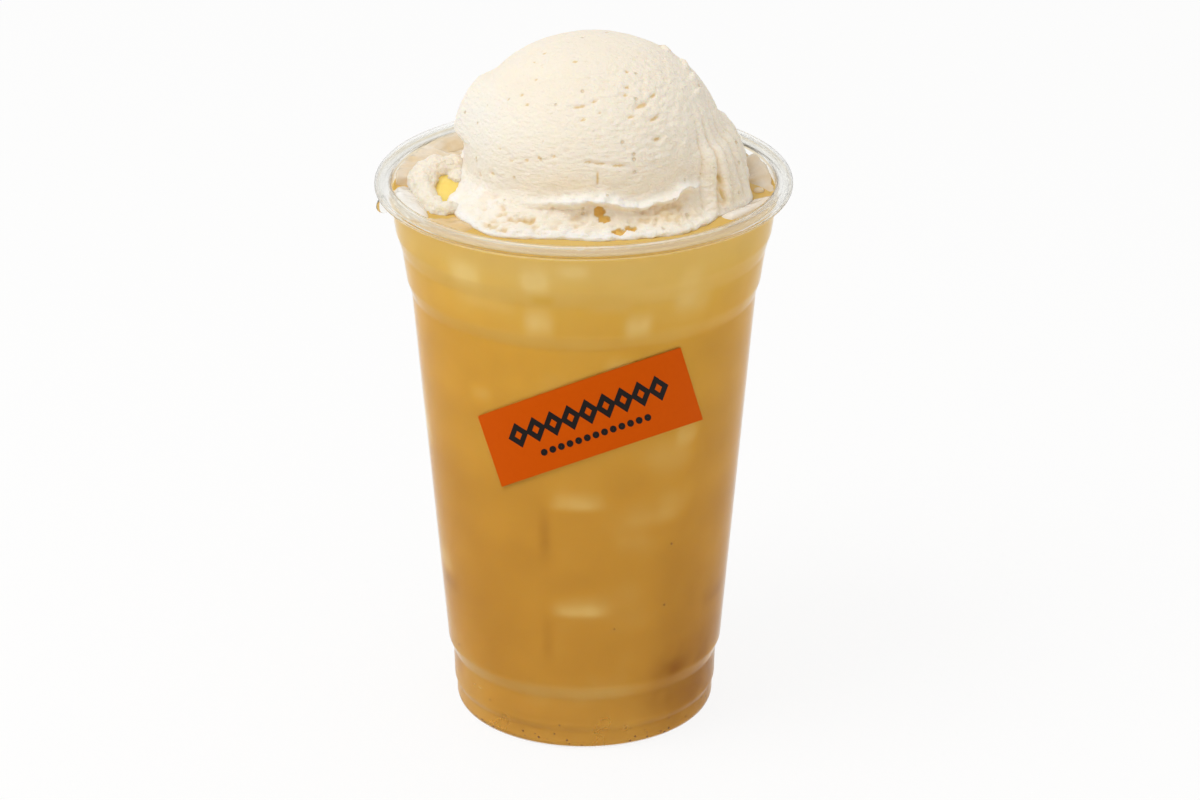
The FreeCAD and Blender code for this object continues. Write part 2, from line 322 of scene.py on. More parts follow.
def end_maker(maker, shape, finish, result):
    """Make the instances real, give them their finish and hand them out."""
    real = add(maker, "GeometryNodeRealizeInstances", {"Geometry": shape})
    dressed = add(maker, "GeometryNodeSetMaterial", {"Geometry": real.outputs[0], "Material": finish})
    maker.links.new(dressed.outputs[0], result.inputs[0])


def made(obj, maker, values):
    """Run a maker on an object and keep the plain mesh that comes out."""
    modifier = obj.modifiers.new(maker.name, "NODES")
    modifier.node_group = maker
    for name, value in values.items():
        modifier[maker.interface.items_tree[name].identifier] = value
    run_modifiers(obj)


cubes, given, result = new_maker("melted_cubes", {"Edge Softness": "Float"})
cube = add(cubes, "GeometryNodeMeshCube", {"Size": (1, 1, 1), "Vertices X": 3, "Vertices Y": 3, "Vertices Z": 3})
soft = add(cubes, "GeometryNodeSubdivisionSurface",
           {"Mesh": cube.outputs["Mesh"], "Level": 2, "Edge Crease": given.outputs["Edge Softness"]})
turn = add(cubes, "GeometryNodeInputNamedAttribute", {"Name": "turn"}, data_type="FLOAT_VECTOR")
size = add(cubes, "GeometryNodeInputNamedAttribute", {"Name": "size"}, data_type="FLOAT")
turned = add(cubes, "FunctionNodeEulerToRotation", {0: turn.outputs["Attribute"]})
laid = add(cubes, "GeometryNodeInstanceOnPoints",
           {"Points": given.outputs["Geometry"], "Instance": soft.outputs["Mesh"],
            "Rotation": turned.outputs[0], "Scale": size.outputs["Attribute"]})
end_maker(cubes, laid.outputs[0], melting_ice, result)
made(sunk_ice, cubes, {"Edge Softness": 0.35})
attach(sunk_ice, "root")


# --- Tea ---------------------------------------------------------------------------------------
# Cold milky tea, poured to just under the rim. It fills the cup, and the floating ice and the scoop
# stand in its flat surface. Its colour is painted paler towards the top and darker lower down, as
# shade of the light from above. It is paler where a sunk cube comes close to the wall, with a painted
# highlight where a cube's top catches the light, and darker with painted shade beside the cubes.

AROUND_TEA = 288
WALL_ROWS = 150
WALL_BITE_mm = 0.16      # it reaches this far into the wall, so no air shows between them
MENISCUS_mm = 0.5

# Pale and dark places on the wall: degrees round from the front to the right, height, half width,
# fade up, fade down, strength. Below 0 is dark. The pale ones show sunk cubes near the wall, with a
# painted highlight where a cube's top catches the light; the dark ones are painted shade beside the
# cubes, low on the right and towards the sides.
WALL_PATCHES = [
    (-2.5, 67.2, 6.2, 3.6, 1.0, 0.62), (-1.5, 38.4, 6.0, 3.4, 1.0, 0.66),
    (-14.5, 58.5, 1.3, 6.5, 5.0, -0.34), (-14.5, 30.0, 1.3, 6.5, 5.0, -0.26),
    (27, 62.5, 8.0, 3.0, 2.2, 0.26), (18, 57.0, 4.0, 5.0, 2.0, 0.12), (36, 66.0, 5.0, 3.5, 5.0, 0.2),
    (39, 82.5, 3.3, 4.0, 2.2, 0.5), (33, 79, 6.5, 4.5, 6.0, 0.2),
    (12, 103.2, 3.4, 2.4, 1.8, 0.4), (17.5, 113.8, 3.0, 3.0, 2.4, 1.0), (-14, 115.0, 3.3, 3.6, 3.0, 0.95),
    (-14.5, 126.0, 3.2, 3.4, 2.8, 1.4), (-38, 125.0, 4.3, 3.2, 2.6, 1.3), (-3.0, 129.0, 3.4, 1.8, 1.4, 1.3),
    (34, 124.5, 3.2, 2.6, 2.2, 0.5), (33, 119.0, 3.0, 2.0, 2.0, 0.45), (8, 119.0, 5.0, 1.6, 1.4, 0.3),
    (-32, 118.0, 8.0, 3.2, 1.6, 0.35), (-37, 94.0, 3.0, 2.0, 3.0, 0.35), (37, 117.5, 4.5, 3.0, 2.6, 0.4),
    (-12.5, 121.4, 2.6, 1.4, 1.4, -0.5), (-24, 103.5, 7.0, 4.0, 5.0, -0.12), (9, 119.0, 8.0, 3.0, 3.0, -0.10),
    (-20, 56.0, 6.0, 6.0, 7.0, -0.14), (4, 128.5, 16.0, 3.0, 5.0, 0.25), (26, 124.0, 14.0, 5.0, 6.0, 0.25),
    (-25, 128.0, 16.0, 5.0, 7.0, 0.25), (45, 44.0, 9.0, 10.0, 10.0, -0.10), (37, 19.0, 5.0, 5.0, 4.0, -0.35),
    (60, 12.0, 18.0, 18.0, 14.0, -0.62), (-50, 70.0, 14.0, 60.0, 60.0, -0.16), (52, 66.0, 13.0, 60.0, 60.0, -0.14),
    (-62, 14.0, 12.0, 12.0, 12.0, 0.2), (-18, 12.5, 12.0, 2.4, 4.0, 0.12),
]
SIDE_PATCHES = 34        # more of them at random on the sides and the back
WALL_LEAN = 0.09         # how far the plain wall faces down
PAINTED_RING_EVENING = 1.1       # painted light: paler where the wall faces down and darker where it faces up, against the shading of the wall's rings
SCOOP_AXIS_mm = (2.3, 4.6)


def turned_mesh(name, rings, low_pole=None, high_pole=None):
    """A closed mesh from rings of points, lowest first, each end closed on one point."""
    rows, around = rings.shape[:2]
    low_pole = rings[0].mean(axis=0) if low_pole is None else low_pole
    high_pole = rings[-1].mean(axis=0) if high_pole is None else high_pole
    points = np.concatenate([rings.reshape(-1, 3), [low_pole], [high_pole]])
    k = np.arange(around)
    after = np.roll(k, -1)
    faces = []
    for row in range(rows - 1):
        a, b = row * around, (row + 1) * around
        faces += np.stack([a + k, a + after, b + after, b + k], axis=1).tolist()
    last = (rows - 1) * around
    faces += np.stack([after, k, np.full(around, rows * around)], axis=1).tolist()
    faces += np.stack([last + k, last + after, np.full(around, rows * around + 1)], axis=1).tolist()
    mesh = bpy.data.meshes.new(name)
    mesh.from_pydata((points * MM).tolist(), [], faces)
    mesh.shade_smooth()
    return stand(name, mesh)


level_mm = tea_level / MM
# Out along the floor's inside, up the wall, over the meniscus and in along the flat top.
floor_reach_mm = [0.5 + 2.0 * k for k in range(14)]
profile = []
for reach in floor_reach_mm:
    hit = wall_seen.ray_cast(Vector((0, -reach * MM, -1)), Vector((0, 0, 1)))[0]
    profile.append((reach, hit.z / MM - WALL_BITE_mm))
for height in np.concatenate([np.linspace(0.62, 3.0, 10), np.linspace(3.8, level_mm - 0.5, WALL_ROWS)]):
    profile.append((wall_at(height * MM) / MM + WALL_BITE_mm, height))
edge = profile[-1][0]
profile += [(edge, level_mm + 0.6 * MENISCUS_mm), (edge - WALL_BITE_mm, level_mm + MENISCUS_mm),
            (edge - 0.6, level_mm + 0.3 * MENISCUS_mm), (edge - 1.4, level_mm)]
profile += [(reach, level_mm) for reach in np.linspace(edge - 2.6, 1.0, 60)]
profile = np.array(profile)
angles = np.radians(np.arange(AROUND_TEA) * 360 / AROUND_TEA)
rings = np.stack([profile[:, :1] * np.cos(angles), profile[:, :1] * np.sin(angles),
                  np.repeat(profile[:, 1:], AROUND_TEA, axis=1)], axis=2)
milky_tea_body = turned_mesh("milky_tea", rings, (0, 0, profile[0, 1]), (0, 0, level_mm))

mesh = milky_tea_body.data
where, facing = read_mesh(mesh)
random = np.random.default_rng(7)
patches = list(WALL_PATCHES)
for k in range(SIDE_PATCHES):
    around, height = 62 + random.random() * 236, 12 + random.random() * 114
    width, fade = 2.5 + 4 * random.random(), 2 + 3 * random.random()
    patches.append((around, height, width, fade, fade * 0.6, random.choice([-0.3, 0.35, 0.55, 0.8])))

bearing = np.degrees(np.arctan2(where[:, 0], -where[:, 1]))
radius = np.hypot(where[:, 0], where[:, 1])
# Above 0: pale ice and a painted highlight. Below 0: painted shade.
milk = np.zeros(len(where))
for around, height, width, up, down, strength in patches:
    along = np.radians((bearing - around + 180) % 360 - 180) * radius / width
    rise = where[:, 2] - height
    fade = np.where(rise > 0, rise / up, rise / down)
    milk += strength * np.exp(-(along ** 4)) * np.exp(-(fade ** 2))
milk *= 1 + 0.25 * grain(where, 3.0, 3)
# Painted light against the rings' shading: paler where the wall faces down, darker where it faces up.
leaning = facing[:, 2] + WALL_LEAN
milk -= PAINTED_RING_EVENING * np.clip(leaning, -0.5, 0.5) * (where[:, 2] > 8) * (where[:, 2] < level_mm - 1)
milk += 0.16 * grain(where * (1, 1, 1.6), 17.0, 5) + 0.05 * grain(where, 5.0, 6)
# Ice cream that has run into the tea, round the foot of the scoop.
run_out = np.hypot(where[:, 0] - SCOOP_AXIS_mm[0], where[:, 1] - SCOOP_AXIS_mm[1]) + 1.2 * grain(where, 6.0, 8)
milk += 0.55 * np.clip(1 - np.abs(run_out - 37.0) / 3.6, 0, 1) * (where[:, 2] > level_mm - 0.1)
mark(mesh, "milk", milk)

milky_tea, tree, shader = new_finish("milky_tea", Subsurface_Weight=0.15, Subsurface_Scale=0.004,
                                     Subsurface_Radius=(1.0, 0.55, 0.2), IOR=1.33, Specular_IOR_Level=0.06)
here = spot(tree)
height = add(tree, "ShaderNodeSeparateXYZ", {0: here}).outputs["Z"]
# Painted paler towards the top and darker lower down, as shade of the light that falls from above.
depth = stepped(tree, reckon(tree, "DIVIDE", height, tea_level), [
    (0.0, srgb(194, 143, 64)), (0.16, srgb(191, 137, 52)), (0.45, srgb(197, 143, 54)), (0.66, srgb(203, 150, 57)),
    (0.82, srgb(210, 158, 60)), (0.90, srgb(215, 168, 70)), (0.96, srgb(219, 179, 90)), (1.0, srgb(220, 182, 98))])
FULL_PATCH = 1.4         # the strength at which a pale or dark place is at its full colour
patch = add(tree, "ShaderNodeAttribute", attribute_name="milk").outputs["Fac"]
# Paler for ice near the wall and for the painted highlight, dark brown for painted shade.
paler_and_highlit = blend(tree, ranged(tree, patch, 0.0, FULL_PATCH), depth, srgb(228, 196, 122))
deeper_and_shaded = blend(tree, ranged(tree, patch, 0.0, -FULL_PATCH), paler_and_highlit, srgb(122, 66, 14))
fine = ranged(tree, noise(tree, here, 260.0, 3.0), 0.0, 1.0, 0.97, 1.03)
body = add(tree, "ShaderNodeMix", {0: 1.0, 6: deeper_and_shaded, 7: fine}, data_type="RGBA", blend_type="MULTIPLY")
shine = ranged(tree, height, tea_level - 0.0004, tea_level - 0.0001, 0.45, 0.06)
feed(tree, shader, Base_Color=body.outputs[2], Roughness=shine)
paint(milky_tea_body, milky_tea)
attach(milky_tea_body, "root")
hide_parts("tea")


# --- Rolled lip --------------------------------------------------------------------------------
# The wall's edge is rolled in on itself all round the rim. The cut edge lies inside the roll, where
# heat has left the plastic milky.

LIP_CENTRE_mm = (46.95, 1.5)     # from the axis and below the top
LIP_HALF_mm = (1.28, 0.82)
AROUND_LIP, LIP_STEPS = 180, 20
ring, step = np.meshgrid(np.radians(np.arange(AROUND_LIP) * 360 / AROUND_LIP),
                         np.radians(np.arange(LIP_STEPS) * 360 / LIP_STEPS), indexing="ij")
swell = grain(np.stack([46 * np.cos(ring), 46 * np.sin(ring), 9 * step], axis=2).reshape(-1, 3), 3.0, 55)
swell = 1 + 0.02 * swell.reshape(ring.shape)
away = LIP_CENTRE_mm[0] + LIP_HALF_mm[0] * swell * np.cos(step)
places = np.stack([away * np.cos(ring), away * np.sin(ring),
                   rim_top / MM - LIP_CENTRE_mm[1] + LIP_HALF_mm[1] * swell * np.sin(step)], axis=2)
index = np.arange(ring.size).reshape(ring.shape)
after, above = np.roll(index, -1, axis=0), np.roll(index, -1, axis=1)
quads = np.stack([index, after, np.roll(after, -1, axis=1), above], axis=2).reshape(-1, 4)
lip_mesh = bpy.data.meshes.new("rolled_lip")
lip_mesh.from_pydata((places.reshape(-1, 3) * MM).tolist(), [], quads.tolist())
lip_mesh.shade_smooth()
rolled_lip = stand("rolled_lip", lip_mesh)

milky_plastic, tree, shader = new_finish("milky_plastic", Roughness=0.4, Alpha=0.23, IOR=1.08)
feed(tree, shader, Base_Color=blend(tree, noise(tree, spot(tree), 70.0), srgb(192, 191, 187), srgb(202, 201, 197)))
pass_lamps(tree, shader, (0.9, 0.9, 0.88, 1))
paint(rolled_lip, milky_plastic)
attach(rolled_lip, "root")


# --- Ice cream ---------------------------------------------------------------------------------
# One pressed scoop of pale vanilla. The dipper leaves a smooth dome with drag lines and small air
# pits, a torn skirt round its foot, a folded edge on the right and a thin peeled lip on the left.

BASE_mm = 30.44          # radius of the dome's foot
DOME_BASE_mm = 8.3       # its widest level above the tea
DOME_FULLNESS = 2.14
DRAFT_mm = 12.0          # sunk under the tea
AROUND_SCOOP = 400
DOME_ROWS = 128
SKIRT_STEPS = 7          # rows between two points of the skirt's section
# Height of the skirt's torn upper edge above the tea, by degrees round from the right (front is -90).
RIDGE_LINE = [(-180, 4.6), (-165, 4.2), (-151, 4.0), (-138, 4.4), (-121, 5.4), (-108, 6.6), (-95, 8.0), (-87, 8.4),
              (-79, 6.8), (-71, 5.8), (-59, 6.4), (-50, 7.8), (-45, 7.6), (-30, 6.2), (-15, 5.4), (10, 6.0), (40, 7.4),
              (75, 6.2), (110, 7.2), (140, 6.0), (160, 5.6), (180, 4.6)]
# How far the torn edge curls out, from 0 where the skirt has melted to an even slope, by the same degrees.
CREST_LINE = [(-180, 0.15), (-128, 0.1), (-112, 0.45), (-100, 0.9), (-45, 0.85), (-36, 0.0), (24, 0.0), (40, 0.7),
              (60, 0.9), (120, 0.6), (150, 0.8), (168, 0.3), (180, 0.15)]
# The sheet folded down on the right: (height above the tea, how far out it hangs).
SHEET = [(-3, 33.6), (-1, 35.6), (0.3, 36.5), (1.2, 36.2), (2.4, 35.7), (5, 36.0), (7.2, 35.5), (10, 34.5),
         (12.6, 33.3), (13.8, 32.4), (14.8, 30.8), (16, 29.8), (19, 28.0)]
SHEET_PLEATS = [(-35, 1.0), (-28.5, 1.3), (-22, 0.9), (-14, 1.1), (-5, 1.0), (6, 0.9), (16, 0.8)]
SHEET_MIDDLE_deg, SHEET_HALF_deg = -4, 40     # where its middle is, and how far it goes either side
SHEET_TOP_mm = 20
# Air pits and small tears: degrees round, height, half length, half height, depth, lean in degrees.
PITS = [
    (-61.5, 26.8, 2.4, 0.9, 0.9, 10), (-58.5, 19.8, 1.4, 0.7, 0.9, 0), (-60, 32.5, 0.7, 0.5, 0.5, 0),
    (-66.5, 30.2, 0.8, 0.5, 0.6, 0), (-89.5, 28.2, 1.0, 0.5, 0.6, 20), (-98, 27.2, 2.4, 0.5, 0.6, 12),
    (-95.5, 24.8, 1.0, 0.5, 0.5, 20), (-86.5, 26.2, 0.6, 0.4, 0.4, 0), (-137, 16, 0.6, 0.5, 0.5, 0),
    (-129, 14.2, 0.6, 0.5, 0.5, 0), (-121, 15.2, 0.6, 0.7, 0.6, 0), (-115, 16.2, 0.8, 0.5, 0.5, 0),
    (-108, 17, 0.8, 0.5, 0.5, 0), (-159, 33.8, 0.7, 0.5, 0.4, 0), (-111.5, 34, 1.0, 0.5, 0.4, 10),
    (-152.5, 32.5, 0.6, 0.4, 0.3, 0), (-134.5, 30.5, 0.7, 0.4, 0.3, 0), (-144, 26, 0.6, 0.5, 0.4, 0),
    (-136.5, 27.5, 0.6, 0.5, 0.4, 0), (-129.5, 26.2, 0.8, 0.5, 0.4, 0), (-69.5, 29, 0.8, 0.5, 0.5, 0),
    (-150, 7.8, 0.6, 1.0, 0.8, 0), (-140.5, 9.5, 1.1, 0.7, 0.8, 0), (-92.5, 16.2, 1.6, 0.4, 0.6, 0),
    (-87.5, 15.8, 2.2, 0.4, 0.7, -4), (-79, 15.2, 2.4, 0.4, 0.6, -4), (-88, 12.4, 0.5, 2.6, 0.5, 4),
    (-57, 24, 2.2, 0.6, 0.5, 14), (-70, 25, 1.4, 0.5, 0.5, 8), (-52, 28, 1.6, 0.6, 0.5, 18),
]
RANDOM_PITS = 150
# Holes through the skirt where the tea shows: degrees round, height, half length, half height, depth.
TEA_HOLES = [(-87.5, 4.9, 1.3, 1.1, 0.8), (-85.5, 3.6, 1.6, 0.8, 0.8), (-80.5, 1.6, 1.7, 0.75, 0.8),
             (-75.5, 1.9, 1.7, 0.75, 1.0)]


def ease(x):
    """0 below 0, 1 above 1, and an even rise between."""
    x = np.clip(x, 0, 1)
    return x * x * (3 - 2 * x)


crown_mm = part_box("ice_cream_scoop")[1].z / MM - level_mm
round_deg = np.arange(AROUND_SCOOP) * 360 / AROUND_SCOOP - 180
round_rad = np.radians(round_deg)
circle = np.stack([BASE_mm * np.cos(round_rad), BASE_mm * np.sin(round_rad), 0 * round_rad], axis=1)


def dome_radius(rise):
    """Radius of the dome at a height above the tea."""
    up = np.clip((rise - DOME_BASE_mm) / (crown_mm - DOME_BASE_mm), 0, 1)
    return BASE_mm * (1 - up ** DOME_FULLNESS) ** (1 / DOME_FULLNESS)


def off_by(degrees, middle):
    """Degrees from a middle bearing, the short way round."""
    return (degrees - middle + 180) % 360 - 180


def near(degrees, middle, spread):
    """1 at the middle bearing and falling to 0 either side."""
    return np.exp(-((off_by(degrees, middle) / spread) ** 2))


skirt = 6 - np.sin(round_rad) + 0.5 * np.sin(5 * round_rad + 0.7) + 0.3 * np.sin(11 * round_rad)
skirt += 0.5 * grain(circle, 4.0, 11) + 0.25 * grain(circle, 1.7, 12) - 0.2 - 2.9 * near(round_deg, -173, 11)
skirt += 3.5 * near(round_deg, -127, 18) + 1.0 * near(round_deg, -55, 16)
ridge = np.interp(round_deg, *zip(*RIDGE_LINE)) + 0.7 * grain(circle, 5.0, 13) + 0.4 * grain(circle, 1.9, 14)
crest = np.interp(round_deg, *zip(*CREST_LINE))
curl = (1.9 + 1.0 * grain(circle, 6.0, 15) + 0.8 * grain(circle, 2.2, 16)) * crest
lip = 1.1 + 0.4 * grain(circle, 3.0, 18)
foot = BASE_mm + skirt
joined = ridge + 2.2
# Two sections, a curled crest over a hollow band and an even slope, mixed by the crest line.
curled = [
    (foot - 3.4, -2.6 + 0 * foot), (foot - 0.9, -1.1 + 0 * foot), (foot, 0.2 + 0 * foot), (foot - 0.7, lip),
    (foot - 2.0, lip + 0.35), (BASE_mm + 0.50 * skirt, lip + 0.3 + 0.13 * ridge),
    (BASE_mm + 0.28 * skirt, 0.6 + 0.44 * ridge), (BASE_mm + 0.9, 0.72 * ridge),
    (BASE_mm + 0.9 + 0.8 * curl, 0.88 * ridge),
    (BASE_mm + 1.0 + 1.1 * curl, ridge + 0.1), (BASE_mm + 0.4 + 0.25 * curl, ridge + 0.75),
    (dome_radius(joined) + 0.1, joined), (dome_radius(joined + 1.6), joined + 1.6),
]
sloped = [
    (foot - 3.4, -2.6 + 0 * foot), (foot - 0.9, -1.1 + 0 * foot), (foot, 0.2 + 0 * foot), (foot - 0.5, 0.8 + 0.2 * lip),
    (foot - 1.4, 0.8 + 0.14 * joined), (BASE_mm + 0.62 * skirt, 0.9 + 0.24 * joined),
    (BASE_mm + 0.46 * skirt, 1.0 + 0.34 * joined), (BASE_mm + 0.33 * skirt, 1.0 + 0.45 * joined),
    (BASE_mm + 0.22 * skirt, 0.9 + 0.56 * joined), (BASE_mm + 0.13 * skirt, 0.6 + 0.69 * joined),
    (BASE_mm + 0.06 * skirt, 0.3 + 0.84 * joined), (dome_radius(joined) + 0.1, joined),
    (dome_radius(joined + 1.6), joined + 1.6),
]
mixed = np.clip(1.6 * crest, 0, 1)
section = np.array([(reach * mixed + other * (1 - mixed), rise * mixed + height * (1 - mixed))
                    for (reach, rise), (other, height) in zip(curled, sloped)])      # points, 2, bearings
rows = []
# The part sunk under the tea.
for depth in np.cos(np.radians(np.arange(10, 80, 10))):
    rows.append((foot * np.sqrt(1 - depth ** 2), -DRAFT_mm * depth + 0 * foot))
# An even curve through the section's points.
for k in range(len(section) - 3):
    before, start, end, beyond = section[k:k + 4]
    for t in np.arange(SKIRT_STEPS) / SKIRT_STEPS:
        rows.append(0.5 * (2 * start + (end - before) * t + (2 * before - 5 * start + 4 * end - beyond) * t ** 2
                           + (3 * start - before - 3 * end + beyond) * t ** 3))
# The dome, with rows closer together towards the crown.
first = section[-2][1]
for t in np.arange(DOME_ROWS) / DOME_ROWS:
    rise = first + (crown_mm - 0.05 - first) * np.sin(t * np.pi / 2)
    rows.append((dome_radius(rise), rise))
rows = np.array([(reach, rise) for reach, rise in rows])
reach, rise = rows[:, 0], rows[:, 1]
turn_deg = np.broadcast_to(round_deg, reach.shape)

# The sheet folded down on the right with its pleats, and the peeled lip on the left.
leaning = turn_deg - 0.5 * (rise - 8)
from_sheet = np.abs(off_by(turn_deg, SHEET_MIDDLE_deg))
sheet = ease((SHEET_HALF_deg - from_sheet) / 16)
hanging = np.interp(rise, *zip(*SHEET)) + 2.2 * near(turn_deg, -20, 11) * ease((7 - rise) / 6)
laid_over = reach * (1 - sheet) + np.maximum(hanging, dome_radius(rise)) * sheet
reach = np.where(rise < SHEET_TOP_mm, np.maximum(laid_over, 0), reach)
pleat, valley = 0 * reach, 0 * reach
for middle, strong in SHEET_PLEATS:
    off = off_by(leaning, middle)
    pleat = pleat + strong * np.exp(-np.abs(off / 2.6) ** 1.4)
    valley = np.maximum(valley, strong * np.exp(-(((off + 3.6) / 0.9) ** 2)))
pleated = ease((SHEET_HALF_deg - np.abs(off_by(turn_deg, SHEET_MIDDLE_deg - 2))) / 8)
pleated = pleated * ease((rise - 0.2) / 2.5) * ease((25 - rise) / 10)
reach = reach + pleated * (0.7 * pleat - 0.6 * valley - 0.3)
slit = near(leaning + 0.25 * rise, -29.5, 0.42) * ease((rise - 1.2) / 1.5) * ease((9.5 - rise) / 1.5)
reach = reach - 0.9 * slit
flap = near(turn_deg, 178, 13) * ease((rise - 11) / 3) * ease((26.5 - rise) / 1.0)
reach = reach + 2.8 * flap

turn_rad = np.radians(turn_deg)
points = np.stack([SCOOP_AXIS_mm[0] + reach * np.cos(turn_rad), SCOOP_AXIS_mm[1] + reach * np.sin(turn_rad),
                   level_mm + rise], axis=2)
along = np.roll(points, -1, axis=1) - np.roll(points, 1, axis=1)
upward = np.gradient(points, axis=0)
normal = np.cross(along, upward)
normal /= np.linalg.norm(normal, axis=2, keepdims=True) + 1e-9

flat = points.reshape(-1, 3)
shape = reach.shape
torn = ease((ridge + 2.5 - rise) / 2.5) * ease((rise + 2) / 2)     # 1 over the skirt, 0 over the dome
torn = torn * (1 - 0.75 * ease((SHEET_HALF_deg - 2 - from_sheet) / 9))
apron = near(turn_deg, -152, 24)
across = np.stack([0.94 * flat[:, 0] + 0.34 * flat[:, 2], flat[:, 1], 0.94 * flat[:, 2] - 0.34 * flat[:, 0]], axis=1)
drag = grain(across * (0.11, 0.3, 1), 0.8, 21).reshape(shape)
broad = grain(flat, 13, 22).reshape(shape)
lumpy = grain(flat, 3.2, 23).reshape(shape)
crumb = grain(flat, 1.3, 24).reshape(shape)
rough = near(turn_deg, -52, 34) * ease((rise - 9) / 8) * ease((37 - rise) / 6)     # where the scoop broke
rough = np.maximum(rough, ease((17 - rise) / 9) * (0.3 + 0.5 * near(turn_deg, -75, 45)))
calm = ease((crown_mm - 0.2 - rise) / 2.5)
push = (1 - torn) * calm * (0.25 * broad + (0.04 + 0.10 * rough) * drag + (0.04 + 0.18 * rough) * lumpy
                            + (0.04 + 0.25 * rough) * crumb)
push += torn * (1 - 0.8 * apron) * (0.4 * lumpy + 0.36 * crumb + 0.3 * broad - 0.3 * np.abs(crumb))
push += torn * apron * (0.15 * lumpy + 0.3 * broad)
push *= ease((rise + 4) / 3)

# How much tea has soaked in, with painted light and shade: above 0 yellow, then amber; below 0 whiter.
# The shaded hollow under the torn edge, painted yellow as shade, and the crumbly yellow zone at the left of the front.
shaded = near(turn_deg, -70, 30) * ease((0.75 * ridge - rise) / 1.2) * ease((rise - 1.3) / 1.0)
crumbly = near(turn_deg, -118, 20) * ease((6.5 - rise) / 2) * ease((rise - 0.6) / 1.0)
right_front = near(turn_deg, -60, 13) * near(rise, 3.6, 2.0)
soak = 0.3 * shaded * ease(0.7 + lumpy) + 0.6 * right_front * ease(0.35 - 1.2 * crumb)
# Painted highlight: whiter cream along the curled crest and along the lower lip.
soak -= 0.9 * crest * near(rise, ridge + 0.1, 0.9) + 0.8 * near(rise, 0.9, 0.8) * near(turn_deg, -95, 60)
soak += 1.2 * crumbly * ease(0.25 - 0.8 * crumb - 1.1 * lumpy)
soak += (0.4 * near(turn_deg, -118, 20) + 0.6 * near(turn_deg, -58, 14) - 0.4) * torn * ease(0.6 + lumpy)
# Painted shade in a band above the crest at the front; whiter low on the left.
soak += 0.3 * near(turn_deg, -98, 16) * near(rise, 10.5, 2.5) - 0.5 * near(turn_deg, -165, 35) * ease((30 - rise) / 10)
soak += 0.12 * near(turn_deg, -40, 40) * ease((20 - rise) / 14)
push -= 0.7 * crumbly * ease(0.1 - 0.8 * crumb - 1.2 * lumpy) + 0.25 * right_front * ease(-2 * crumb)
soak += 1.5 * slit + 0.5 * pleated * ease(valley - 0.4)
PIT_STAIN, SMALL_PIT_STAIN, HOLE_STAIN = 1.1, 0.2, 3.5
random = np.random.default_rng(20)
pits = [(*pit[:4], 0.65 * pit[4], pit[5], PIT_STAIN) for pit in PITS]
for k in range(RANDOM_PITS):
    turn, up = random.random() * 360 - 180, DOME_BASE_mm + 1.5 + 25 * random.random()
    size = 0.35 + 0.3 * random.random() ** 2
    pits.append((turn, up, size * (1 + 1.2 * random.random()), size, 0.03 + 0.22 * size, random.random() * 30 - 5,
                 SMALL_PIT_STAIN))
pits += [hole + (0, HOLE_STAIN) for hole in TEA_HOLES]
for turn, up, length, tall, deep, lean, stain in pits:
    east = np.radians(off_by(turn_deg, turn)) * reach
    north = (rise - up) / np.maximum(0.45, np.sqrt(1 - np.clip(normal[:, :, 2], 0, 0.99) ** 2))
    c, s = math.cos(math.radians(lean)), math.sin(math.radians(lean))
    gone = np.exp(-((((c * east + s * north) / length) ** 2 + ((c * north - s * east) / tall) ** 2) ** 1.5))
    gone = gone * (np.abs(east) < 12) * (reach > 3)      # only near its own place, and not on the crown
    if stain == HOLE_STAIN:      # a hole has a ragged edge and a flat floor
        hollow, wetted = ease((gone + 0.16 * crumb - 0.3) / 0.3), ease((gone + 0.16 * crumb - 0.4) / 0.16)
    else:
        hollow, wetted = gone, ease((gone - 0.7) / 0.25)
    push = push - deep * hollow
    soak = soak + stain * wetted

# Thin torn flakes that stand up on the right of the dome.
FLAKES = [(17, 30.8, 2.0, 1.2, 0.7), (3, 28.2, 3.2, 1.2, 0.7), (-7, 26.2, 2.4, 1.6, 0.8), (-14, 24.6, 3.0, 1.0, 0.6)]
for turn, up, length, tall, high in FLAKES:
    east = np.radians(off_by(turn_deg, turn)) * reach
    edge = ease((up + 0.3 * lumpy + tall - rise) / 0.5) * ease((rise - up + tall) / (2 * tall))
    push = push + 1.5 * high * np.exp(-((east / length) ** 4)) * edge

points = points + normal * push[:, :, None]
scoop = turned_mesh("ice_cream", points, (*SCOOP_AXIS_mm, level_mm - DRAFT_mm),
                    points[-1].mean(axis=0) + (0, 0, 0.02))
mark(scoop.data, "soak", np.append(np.clip(soak, -1, 4).ravel(), [0, 0]))

# Cream colour with amber in the pits and fine, chalky grain; used by the scoop and its torn lump.
cream_skin, given, result = new_group("cream_skin", {"Soak": "Float", "Grain": "Float", "Pores": "Float"},
                                      {"Color": "Color", "Normal": "Vector"})
here, soak_light_value = spot(cream_skin), given.outputs["Soak"]
cream = blend(cream_skin, noise(cream_skin, here, 90.0, 4.0), srgb(250, 237, 219), srgb(255, 244, 229))
